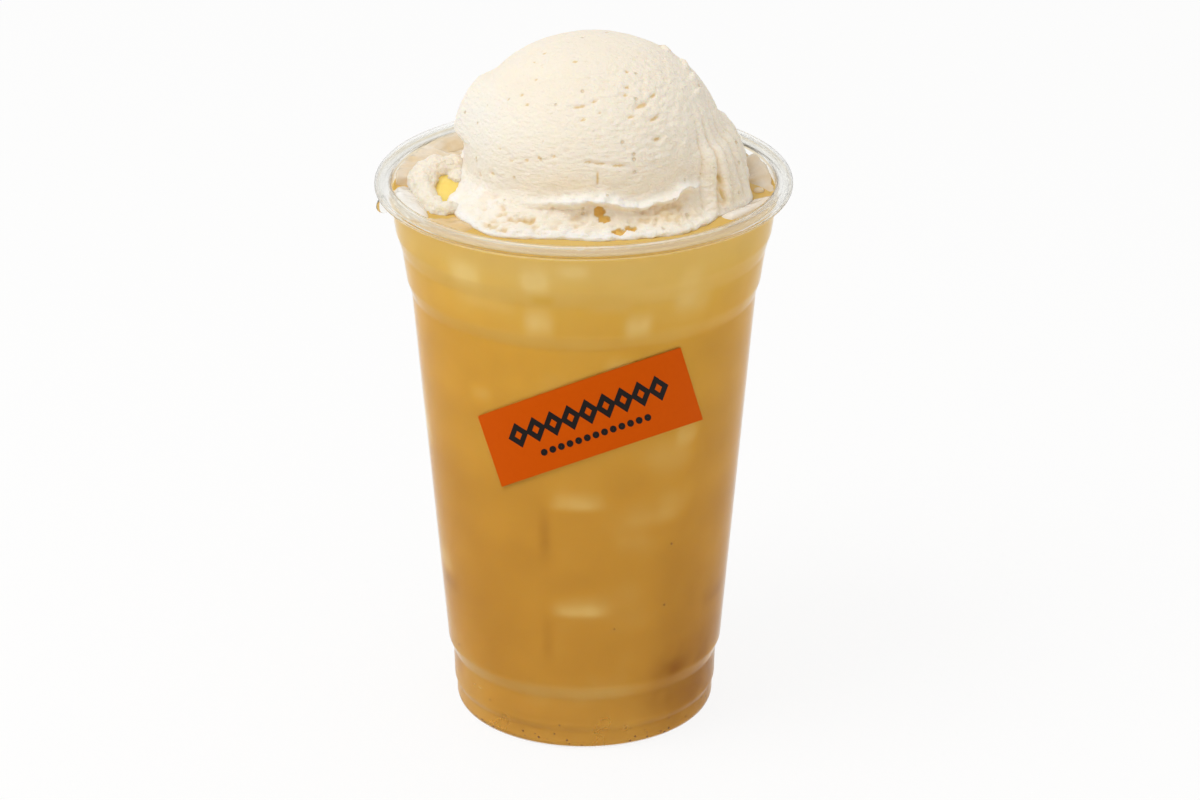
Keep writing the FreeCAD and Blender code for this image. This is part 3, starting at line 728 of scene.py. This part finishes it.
# Below 0 the cream turns whiter: the painted highlight along the scoop's crest and lip.
whiter_and_highlit = blend(cream_skin, ranged(cream_skin, soak_light_value, 0.0, -1.0), cream, srgb(255, 252, 245))
yellow = blend(cream_skin, ranged(cream_skin, soak_light_value, 0.0, 1.3), whiter_and_highlit, srgb(229, 200, 138))
amber = blend(cream_skin, ranged(cream_skin, soak_light_value, 1.5, 3.0), yellow, srgb(238, 194, 104))
slant = add(cream_skin, "ShaderNodeMapping", {"Vector": here, "Rotation": (0, math.radians(20), 0),
                                              "Scale": (0.16, 0.5, 1)})
drawn = noise(cream_skin, slant.outputs[0], 1500.0, 3.0)
cell = add(cream_skin, "ShaderNodeTexVoronoi", {"Vector": here, "Scale": 330.0, "Randomness": 1.0})
few = add(cream_skin, "ShaderNodeSeparateColor", {0: cell.outputs["Color"]}).outputs[0]
some = reckon(cream_skin, "GREATER_THAN", few, reckon(cream_skin, "SUBTRACT", 1.0, given.outputs["Pores"]))
pore = reckon(cream_skin, "MULTIPLY", ranged(cream_skin, cell.outputs["Distance"], 0.07, 0.17, -1.1, 0.0), some)
chalk = reckon(cream_skin, "ADD", noise(cream_skin, here, 1300.0, 4.0), drawn)
relief = add(cream_skin, "ShaderNodeBump", {"Height": reckon(cream_skin, "ADD", chalk, pore),
                                            "Distance": given.outputs["Grain"], "Strength": 0.8})
pored = blend(cream_skin, reckon(cream_skin, "MULTIPLY", pore, -0.4), amber, srgb(226, 196, 132))
feed(cream_skin, result, Color=pored, Normal=relief.outputs["Normal"])


def cream_finish(name, grain_depth, pores, **plain):
    """Ice cream with its own depth of grain and share of pores."""
    finish, tree, shader = new_finish(name, Subsurface_Radius=(1.0, 0.75, 0.45), IOR=1.36, **plain)
    soak_light_value = add(tree, "ShaderNodeAttribute", attribute_name="soak").outputs["Fac"]
    skin = add(tree, "ShaderNodeGroup", {"Soak": soak_light_value, "Grain": grain_depth, "Pores": pores}, node_tree=cream_skin)
    feed(tree, shader, Base_Color=skin.outputs["Color"], Normal=skin.outputs["Normal"])
    return finish


paint(scoop, cream_finish("ice_cream", 0.0005, 0.25, Roughness=0.62, Subsurface_Weight=0.35, Subsurface_Scale=0.0025))
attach(scoop, "root")
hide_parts("ice_cream_scoop")

# Torn lump at the left of the skirt: knobs of ice cream in a ring, round a pool of yellow melt.
# Each knob: its middle from the cup's axis and above the tea, and its radius.
KNOBS = [(-37.3, -0.6, 2.7, 3.5), (-36.4, 1.8, 3.3, 3.5), (-34.2, 3.6, 3.8, 3.5), (-31.2, 4.8, 3.8, 3.3),
         (-37.3, -3.2, 2.2, 3.1), (-36.9, -5.6, 1.5, 2.8), (-36.3, -7.8, 1.0, 2.6), (-35.7, -9.8, 0.5, 2.5),
         (-35.0, -11.8, 0.1, 2.4), (-33.6, -13.4, -0.2, 2.5), (-31.6, -13.8, -0.4, 2.8),
         (-29.8, 1.0, 2.3, 2.5)]
MELT_POOL = (-33.2, -3.0, 1.3, 6.4)


KNOB_ROWS, AROUND_KNOB = 26, 40
LUMP_STEP_mm = 0.32


def knob(middle, radius, squash, seed):
    """A lumpy ball, as rings of points in millimetres."""
    up, turn = np.meshgrid(np.radians(np.linspace(-84, 84, KNOB_ROWS)),
                           np.radians(np.arange(AROUND_KNOB) * 360 / AROUND_KNOB), indexing="ij")
    ball = np.stack([np.cos(up) * np.cos(turn), np.cos(up) * np.sin(turn), np.sin(up) * squash], axis=2)
    swell = 1 + 0.16 * grain(ball.reshape(-1, 3) * radius, 2.6, seed).reshape(up.shape)
    return ball * (radius * swell)[:, :, None] + np.array(middle) + (0, 0, level_mm)


knobs = []
for k, (x, y, z, radius) in enumerate(KNOBS):
    rings = knob((x, y, z), radius, 1.0, 40 + k)
    knobs.append(turned_mesh("knob", rings))
lump = knobs[0]
for other in knobs[1:]:
    union = lump.modifiers.new("union", "BOOLEAN")
    union.operation, union.object, union.solver = "UNION", other, "MANIFOLD"
melt_together = lump.modifiers.new("melt_together", "REMESH")
melt_together.mode, melt_together.voxel_size = "VOXEL", LUMP_STEP_mm * MM
melt_together.use_smooth_shade = True
even_out = lump.modifiers.new("even_out", "SMOOTH")
even_out.factor, even_out.iterations = 0.5, 9
lump.name = "ice_cream_lump"
lump_mesh = run_modifiers(lump)
for other in knobs[1:]:
    bpy.data.objects.remove(other)
skin, facing = read_mesh(lump_mesh)
swell = 0.7 * grain(skin, 4.2, 51) - 0.55 * np.abs(grain(skin, 2.2, 52)) + 0.22 * grain(skin, 0.9, 53) + 0.2
move_skin(lump_mesh, skin + facing * swell[:, None])
gap = np.hypot(skin[:, 0] - MELT_POOL[0], skin[:, 1] - MELT_POOL[1])
mark(lump_mesh, "soak", 1.2 * ease((5.2 - gap) / 3.2) * ease((level_mm + 4.0 - skin[:, 2]) / 2.5))
paint(lump, cream_finish("soft_cream", 0.0007, 0.0, Roughness=0.5, Subsurface_Weight=0.4, Subsurface_Scale=0.003))
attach(lump, "root")

# Melted ice cream and tea, lying in the hollow of the lump.
yellow_melt, tree, shader = new_finish("yellow_melt", Roughness=0.12, Subsurface_Weight=0.4, Subsurface_Scale=0.003,
                                       Subsurface_Radius=(1.0, 0.8, 0.3), IOR=1.34)
swirl = noise(tree, spot(tree), 420.0, 2.0, 1.2)
feed(tree, shader, Base_Color=blend(tree, swirl, srgb(255, 217, 106), srgb(255, 227, 134)))
rings = knob(MELT_POOL[:3], MELT_POOL[3], 0.2, 61)
rings[:, :, 2] += 0.34 * (rings[:, :, 1] - MELT_POOL[1])
rings[:, :, 2] += 0.5 * grain(rings.reshape(-1, 3), 3.0, 62).reshape(rings.shape[:2])
rings[:, :, 0] = MELT_POOL[0] + 0.8 * (rings[:, :, 0] - MELT_POOL[0])
melt = turned_mesh("melt_pool", rings)
paint(melt, yellow_melt)
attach(melt, "root")


# --- Drops, loose ice and specks ---------------------------------------------------------------
# Drops of water hang under the rim at the left. Slush and banks of loose ice lie along the wall, and
# a crumb of ice swims at the right. Specks of tea leaf have sunk to the foot, where they show through
# the wall.

drop_water, tree, shader = new_finish("drop_water", Base_Color=(0.97, 0.96, 0.93, 1), Transmission_Weight=1.0,
                                      IOR=1.33)
ripple = add(tree, "ShaderNodeGroup", {"Size": 0.003, "Depth": 0.0001}, node_tree=wet_ripple)
wet = ranged(tree, noise(tree, spot(tree), 500.0), 0.0, 1.0, 0.02, 0.08)
feed(tree, shader, Roughness=wet, Normal=ripple.outputs["Normal"])
# Each drop: name, middle, radius, height as a share of it, how much it hangs.
DROPS = [("rim_drop", (-46.8, -6.6, -1.2), 1.45, 1.4, 0.3), ("rim_drop_small", (-47.4, -2.6, -0.2), 0.7, 1.2, 0.2)]
for k, (name, middle, radius, tall, hang) in enumerate(DROPS):
    rings = knob(middle, radius, tall, 70 + k)
    down = (rings[:, :, 2] - level_mm - middle[2]) / radius
    rings[:, :, :2] -= (hang * down[:, :, None]) * (rings[:, :, :2] - np.array(middle[:2])) * 0.6
    drop = turned_mesh(name, rings)
    paint(drop, drop_water)
    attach(drop, "root")

def loose_ice(name, rings, stain, seed):
    """A closed bit of melting ice with some tea in it."""
    bit = turned_mesh(name, rings)
    mark(bit.data, "tea_in_it", np.clip(stain + 0.3 * grain(read_mesh(bit.data)[0], 3.0, seed), 0, 1) * (stain > 0))
    paint(bit, melting_ice)
    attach(bit, "root")


# Each bit: name, middle, radius, height as a share of it, how much tea is in it.
SLUSH = [("ice_crumb", (41.0, -0.6, 0.1), 1.3, 0.6, 0.5), ("slush_left", (-30.8, 21.8, -0.8), 6.4, 0.3, 0.5),
         ("slush_back", (-33.0, 24.6, -0.5), 3.5, 0.4, 0.45), ("slush_far_back", (-29.4, 28.2, -0.6), 3.9, 0.4, 0.4),
         ("slush_right", (33.0, 20.5, -0.9), 5.4, 0.3, 0.6),
         ("slush_front_left", (-35.2, -20.6, -0.7), 3.4, 0.28, 0.35)]
for k, (name, middle, radius, tall, stain) in enumerate(SLUSH):
    loose_ice(name, knob(middle, radius, tall, 90 + k), stain, 95 + k)

# Ice banked along the wall. Each bank: name, degrees round from the right, from the axis, above the tea, half
# length, half width, half height, how far its outer side is lifted, how much tea is in it.
BANKS = [("ice_bank_left", 194, 41.6, 0.4, 10.5, 3.3, 1.9, 0.3, 0.0),
         ("ice_bank_back_left", 142, 42.2, 0.6, 15.0, 3.4, 2.3, 0.25, 0.6),
         ("ice_bank_back_right", 36, 42.6, 0.2, 9.0, 2.8, 1.6, 0.2, 1.0)]
for k, (name, heading, reach_out, above_tea, long, wide, high, lifted, stain) in enumerate(BANKS):
    local = knob((0, 0, 0), 1.0, 1.0, 110 + k) - np.array([0, 0, level_mm])
    rough_edge = 1 + 0.12 * grain(local.reshape(-1, 3) * 6, 2.0, 120 + k).reshape(local.shape[:2])
    out_from_axis = reach_out + wide * local[:, :, 0] * rough_edge
    way_round = math.radians(heading) + long * local[:, :, 1] / reach_out
    upward_mm = above_tea + high * local[:, :, 2] * rough_edge + lifted * wide * local[:, :, 0]
    rings = np.stack([out_from_axis * np.cos(way_round), out_from_axis * np.sin(way_round),
                      level_mm + upward_mm], axis=2)
    loose_ice(name, rings, stain, 130 + k)

leaf_speck, tree, shader = new_finish("leaf_speck", Roughness=0.5)
feed(tree, shader, Base_Color=blend(tree, noise(tree, spot(tree), 900.0), srgb(84, 44, 16), srgb(138, 84, 38)))

SPECKS = 105
SPECK_BITE_mm = 0.05     # how far a speck's middle lies in the wall
# Most lie in the foot, and every sixth hangs higher up.
random = np.random.default_rng(33)
places, sizes = [], []
for k in range(SPECKS):
    height = 1.2 + 5.5 * random.random() ** 2.2 if k % 6 else 8 + 60 * random.random() ** 2
    heading = random.random() * 2 * math.pi
    away = wall_at(height * MM) + SPECK_BITE_mm * MM
    places.append((away * math.cos(heading), away * math.sin(heading), height * MM))
    sizes.append((0.16 + 0.18 * random.random()) * MM)
speck_mesh = bpy.data.meshes.new("specks")
speck_mesh.from_pydata(places, [], [])
mark(speck_mesh, "size", sizes)
specks = stand("tea_specks", speck_mesh)
sprinkle, given, result = new_maker("sprinkle", {"Roundness": "Int"})
bit = add(sprinkle, "GeometryNodeMeshIcoSphere", {"Radius": 1.0, "Subdivisions": given.outputs["Roundness"]})
size = add(sprinkle, "GeometryNodeInputNamedAttribute", {"Name": "size"}, data_type="FLOAT")
strewn = add(sprinkle, "GeometryNodeInstanceOnPoints",
             {"Points": given.outputs["Geometry"], "Instance": bit.outputs["Mesh"], "Scale": size.outputs["Attribute"]})
end_maker(sprinkle, strewn.outputs[0], leaf_speck, result)
made(specks, sprinkle, {"Roundness": 2})
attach(specks, "root")


# --- Label -------------------------------------------------------------------------------------
# A narrow orange sticker of coated paper, put on by hand at a slant. It carries a plain printed
# border: a row of lozenges, with a row of dots below.

LABEL_TILT_deg = 18.5
LABEL_VIEW_deg = 24.4
INK_THICKNESS_mm = 0.05
INK_LIFT_mm = 0.012
SIGHT_START_m = 0.06     # the rays that lay the print on the label start this far in front of it

sticker, tree, shader = new_finish("sticker", IOR=1.45, Specular_IOR_Level=0.04)
fibre = noise(tree, spot(tree), 900.0, 4.0)
relief = add(tree, "ShaderNodeBump", {"Height": fibre, "Strength": 0.15, "Distance": 0.0001})
feed(tree, shader, Base_Color=blend(tree, fibre, srgb(206, 82, 0), srgb(211, 87, 2)),
     Roughness=ranged(tree, fibre, 0.0, 1.0, 0.42, 0.6), Normal=relief.outputs["Normal"])
paint(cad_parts["label"], sticker)

ink, tree, shader = new_finish("ink", IOR=1.45, Specular_IOR_Level=0.2)
spread = noise(tree, spot(tree), 1200.0, 3.0)
feed(tree, shader, Base_Color=blend(tree, spread, srgb(10, 6, 4), srgb(26, 14, 8)),
     Roughness=ranged(tree, spread, 0.0, 1.0, 0.4, 0.6))


def flat_ring(name, sides, width, height, stroke):
    """A thin closed frame or, with no hole, a plate, standing in X and Z with its face towards -Y."""
    angles = np.radians(np.arange(sides) * 360 / sides)
    rim = np.stack([np.cos(angles) * width / 2, np.sin(angles) * height / 2], axis=1) * MM
    inner = rim * (1 - 2 * stroke / min(width, height))
    points = []
    back = 2 * sides
    for y in (0, INK_THICKNESS_mm * MM):
        points += [(x, y, z) for x, z in rim] + [(x, y, z) for x, z in inner]
    faces = []
    for k in range(sides):
        n = (k + 1) % sides
        faces += [(k, n, sides + n, sides + k), (back + n, back + k, back + sides + k, back + sides + n),
                  (n, k, back + k, back + n), (sides + k, sides + n, back + sides + n, back + sides + k)]
    mesh = bpy.data.meshes.new(name)
    mesh.from_pydata(points, [], faces)
    return stand(name, mesh)


# A row of one shape, laid on the sticker's curve by rays along its line of sight.
border, given, result = new_maker("printed_row", {
    "Shape": "Object", "Sticker": "Object", "Count": "Int", "Spacing": "Float", "Middle": "Vector",
    "Drop": "Float", "Tilt": "Float", "View": "Float", "Lift": "Float"})
half = add(border, "ShaderNodeMath", {0: given.outputs["Count"], 1: -0.5}, operation="MULTIPLY_ADD")
half.inputs[2].default_value = 0.5
first = add(border, "ShaderNodeMath", {0: half.outputs[0], 1: given.outputs["Spacing"]}, operation="MULTIPLY")
begin = add(border, "ShaderNodeCombineXYZ", {"X": first.outputs[0], "Z": given.outputs["Drop"]})
stride = add(border, "ShaderNodeCombineXYZ", {"X": given.outputs["Spacing"]})
row = add(border, "GeometryNodeMeshLine", {"Count": given.outputs["Count"], "Start Location": begin.outputs[0],
                                           "Offset": stride.outputs[0]})
motif = add(border, "GeometryNodeObjectInfo", {"Object": given.outputs["Shape"]})
printed = add(border, "GeometryNodeInstanceOnPoints", {"Points": row.outputs[0], "Instance": motif.outputs["Geometry"]})
real = add(border, "GeometryNodeRealizeInstances", {"Geometry": printed.outputs[0]})
place = add(border, "GeometryNodeInputPosition")
depth = add(border, "ShaderNodeSeparateXYZ", {0: place.outputs[0]})
kept = add(border, "GeometryNodeCaptureAttribute", {"Geometry": real.outputs[0]})
kept.capture_items.new("FLOAT", "depth")
border.links.new(depth.outputs["Y"], kept.inputs["depth"])
roll = add(border, "ShaderNodeCombineXYZ", {"Y": given.outputs["Tilt"]})
pitch = add(border, "ShaderNodeCombineXYZ", {"X": given.outputs["View"]})
rolled = add(border, "GeometryNodeTransform", {"Geometry": kept.outputs[0], "Rotation": roll.outputs[0]})
pitched = add(border, "GeometryNodeTransform", {"Geometry": rolled.outputs[0], "Rotation": pitch.outputs[0],
                                                "Translation": given.outputs["Middle"]})
sight = add(border, "ShaderNodeVectorRotate", {"Vector": (0, 1, 0), "Rotation": pitch.outputs[0]},
            rotation_type="EULER_XYZ")
target = add(border, "GeometryNodeObjectInfo", {"Object": given.outputs["Sticker"]})
cast = add(border, "GeometryNodeRaycast", {"Target Geometry": target.outputs["Geometry"],
                                           "Source Position": add(border, "GeometryNodeInputPosition").outputs[0],
                                           "Ray Direction": sight.outputs[0], "Ray Length": 0.2})
out = add(border, "ShaderNodeMath", {0: kept.outputs["depth"], 1: given.outputs["Lift"]}, operation="SUBTRACT")
shift = add(border, "ShaderNodeVectorMath", {0: sight.outputs[0], "Scale": out.outputs[0]}, operation="SCALE")
laid = add(border, "ShaderNodeVectorMath", {0: cast.outputs["Hit Position"], 1: shift.outputs[0]}, operation="ADD")
moved = add(border, "GeometryNodeSetPosition", {"Geometry": pitched.outputs[0], "Position": laid.outputs[0]})
end_maker(border, moved.outputs[0], ink, result)

label_low, label_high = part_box("label")
middle = (label_low + label_high) / 2
lozenge = flat_ring("lozenge", 4, 4.9, 6.0, 1.55)
dot = flat_ring("dot", 12, 1.6, 1.6, 0.75)
rows_of_print = [("print_lozenges", lozenge, 9, 4.25, 1.6), ("print_dots", dot, 13, 2.1, -4.0)]
for name, motif_shape, count, spacing, up in rows_of_print:
    printed_row = stand(name, bpy.data.meshes.new(name))
    made(printed_row, border, {
        "Shape": motif_shape, "Sticker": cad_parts["label"], "Count": count, "Spacing": spacing * MM,
        "Middle": (middle.x, middle.y - SIGHT_START_m,
                   middle.z + SIGHT_START_m * math.tan(math.radians(LABEL_VIEW_deg))),
        "Drop": up * MM, "Tilt": math.radians(-LABEL_TILT_deg), "View": math.radians(-LABEL_VIEW_deg),
        "Lift": (INK_THICKNESS_mm + INK_LIFT_mm) * MM})
    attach(printed_row, "root")
for motif_shape in (lozenge, dot):
    bpy.data.objects.remove(motif_shape)


# --- Floor, light and camera -------------------------------------------------------------------
# A flat sheet of white paper, one broad soft light high on the left, a weak one low on the right, and
# an even white room.

LAMP_LIGHT = (1, 0.985, 0.96)
FLOOR_SHARE = 0.88       # of the floor that shows as plain white; the rest takes the shadow


def seen_rays(tree):
    """1 for rays from the camera, off gloss and through glass."""
    path = add(tree, "ShaderNodeLightPath").outputs
    direct = reckon(tree, "MAXIMUM", path["Is Camera Ray"], path["Is Glossy Ray"])
    return reckon(tree, "MAXIMUM", direct, path["Is Transmission Ray"])

floor_mesh = bpy.data.meshes.new("floor")
floor_mesh.from_pydata([(-3, -3, 0), (3, -3, 0), (3, 3, 0), (-3, 3, 0)], [], [(0, 1, 2, 3)])
floor = stand("floor", floor_mesh)
white_paper, tree, shader = new_finish("white_paper", Base_Color=(0.95, 0.95, 0.95, 1), Roughness=0.9)
share = reckon(tree, "MULTIPLY", seen_rays(tree), FLOOR_SHARE)
glow = add(tree, "ShaderNodeEmission", {"Color": (1, 1, 1, 1), "Strength": 1.0})
mixed = add(tree, "ShaderNodeMixShader", {0: share, 1: shader.outputs[0], 2: glow.outputs[0]})
tree.links.new(mixed.outputs[0], tree.nodes["Material Output"].inputs["Surface"])
paint(floor, white_paper)

world = bpy.data.worlds.new("white_room")
bpy.context.scene.world = world
world.use_nodes = True
tree = world.node_tree
room = tree.nodes["Background"]
room.inputs["Color"].default_value, room.inputs["Strength"].default_value = (*LAMP_LIGHT, 1), 0.66
backdrop = add(tree, "ShaderNodeBackground", {"Color": (1, 1, 1, 1), "Strength": 1.0})
mixed = add(tree, "ShaderNodeMixShader", {0: seen_rays(tree), 1: room.outputs[0], 2: backdrop.outputs[0]})
tree.links.new(mixed.outputs[0], tree.nodes["World Output"].inputs["Surface"])

# Each lamp: name, watts, size, place.
LAMPS = [("key", 5.7, 0.6, (-0.56, -0.3, 1.12)), ("fill", 0.95, 0.5, (0.85, -0.5, 0.03))]
for name, watts, size, place in LAMPS:
    lamp = bpy.data.lights.new(name, "AREA")
    lamp.energy, lamp.size, lamp.color = watts, size, LAMP_LIGHT
    lamp_stand = stand(name, lamp)
    lamp_stand.location = place
    lamp_stand.rotation_euler = (Vector((0, 0, 0.08)) - lamp_stand.location).to_track_quat("-Z", "Y").to_euler()

camera = stand("camera", bpy.data.cameras.new("camera"))
camera.location = (0.0038, -0.9, 0.47217)
camera.rotation_euler = (math.radians(66.361), 0, 0)
camera.data.lens, camera.data.sensor_width = 122.99, 36
bpy.context.scene.camera = camera
bpy.context.scene.view_settings.view_transform = "Standard"
